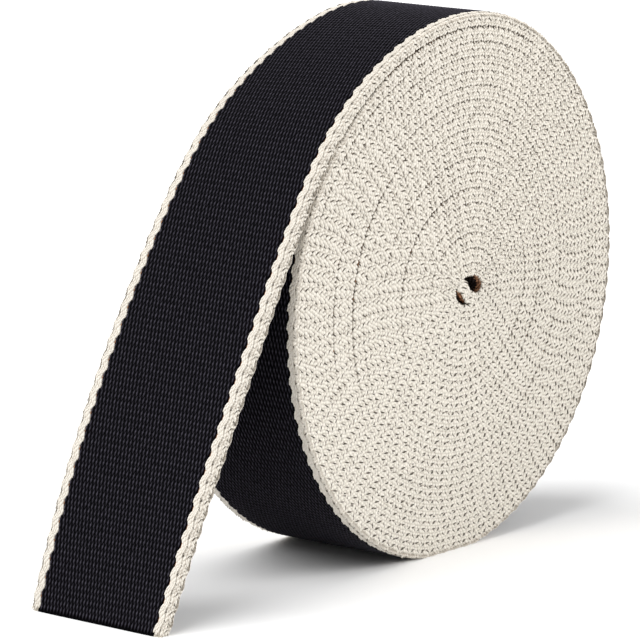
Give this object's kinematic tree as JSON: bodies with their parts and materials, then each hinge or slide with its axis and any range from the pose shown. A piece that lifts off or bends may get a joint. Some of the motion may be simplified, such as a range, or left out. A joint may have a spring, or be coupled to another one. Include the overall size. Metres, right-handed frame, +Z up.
{
  "type": "roll of cotton tape",
  "caption": "Thick woven cotton tape wound on itself into a roll that stands on its rim, its loose end running over the top and down to the surface.",
  "frame": {"origin": "middle of the flat spot that the roll stands on, on the surface, midway between the roll's two faces", "axes": "+Z up; the roll's axis lies along Y and its front face looks towards -Y; the loose end falls towards -X"},
  "size_m": [0.1744, 0.038, 0.1266],
  "materials": {
    "tape_roll": "woven cotton, cream selvedges on the faces and black twill with cream edges on the rim",
    "tape_loose_end": "woven cotton, black twill with a cream selvedge along each side"
  },
  "bodies": {
    "root": {"wound_roll": "tape_roll", "loose_end": "tape_loose_end"}
  },
  "joints": []
}
